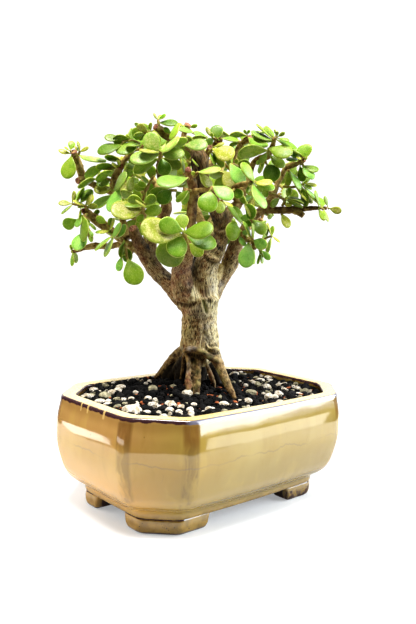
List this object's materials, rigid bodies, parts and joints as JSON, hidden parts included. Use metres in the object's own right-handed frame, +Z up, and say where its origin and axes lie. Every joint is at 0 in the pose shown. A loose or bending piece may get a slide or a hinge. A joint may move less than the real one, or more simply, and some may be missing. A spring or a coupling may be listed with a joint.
{
  "type": "dwarf jade bonsai",
  "caption": "Small bonsai tree with a thick forking trunk and fleshy oval leaves, standing in soil in an oblong glazed pot with cut corners and short feet.",
  "frame": {"origin": "middle of the whole object's outline seen from above, on the surface the pot's feet stand on", "axes": "+Z up the tree; X along the pot's long side; -Y is the front long side of the pot, and the crown leans back past the pot on +Y"},
  "size_m": [0.1766, 0.1467, 0.2415],
  "materials": {
    "glaze": "crackled cream and olive-tan glaze, glossy, dark lines where it thins at the edges",
    "soil": "rough near-black granules mixed with pale pumice and orange bark chips",
    "bark": "grey-tan finely furrowed bark, matte",
    "screen_mesh": "black moulded mesh",
    "pumice": "rough pale pumice",
    "leaf": "fleshy yellow-green leaf, waxy, slightly translucent"
  },
  "bodies": {
    "root": {"drain_screen_left": "screen_mesh", "drain_screen_right": "screen_mesh", "pot": "glaze", "pumice_stone_1": "pumice", "pumice_stone_2": "pumice", "pumice_stone_3": "pumice", "pumice_stone_4": "pumice", "pumice_stone_5": "pumice", "pumice_stone_6": "pumice", "pumice_stone_7": "pumice", "shoot_back_center": "leaf", "shoot_back_center_low": "leaf", "shoot_back_left": "leaf", "shoot_back_left_low": "leaf", "shoot_back_left_mid": "leaf", "shoot_back_mid": "leaf", "shoot_back_right": "leaf", "shoot_back_right_low": "leaf", "shoot_back_top": "leaf", "shoot_back_top_left": "leaf", "shoot_back_top_mid": "leaf", "shoot_back_upper_mid": "leaf", "shoot_center": "leaf", "shoot_center_blue": "leaf", "shoot_center_left": "leaf", "shoot_center_right": "leaf", "shoot_center_top": "leaf", "shoot_front": "leaf", "shoot_left_big": "leaf", "shoot_left_drop": "leaf", "shoot_left_high": "leaf", "shoot_left_inner": "leaf", "shoot_left_low": "leaf", "shoot_left_mid": "leaf", "shoot_left_stub": "leaf", "shoot_left_tip_low": "leaf", "shoot_left_top": "leaf", "shoot_mid_pale": "leaf", "shoot_mid_shade": "leaf", "shoot_mid_yellow": "leaf", "shoot_right_blades": "leaf", "shoot_right_crown": "leaf", "shoot_right_dark": "leaf", "shoot_right_long": "leaf", "shoot_right_low_twig": "leaf", "shoot_right_lower": "leaf", "shoot_right_mid_dark": "leaf", "shoot_right_round_low": "leaf", "shoot_right_shade": "leaf", "shoot_right_side": "leaf", "shoot_right_tip": "leaf", "shoot_right_top": "leaf", "shoot_right_upper": "leaf", "shoot_top_b": "leaf", "shoot_top_left": "leaf", "shoot_top_mid": "leaf", "shoot_top_right": "leaf", "shoot_upper_left": "leaf", "soil": "soil", "trunk": "bark"}
  },
  "joints": []
}
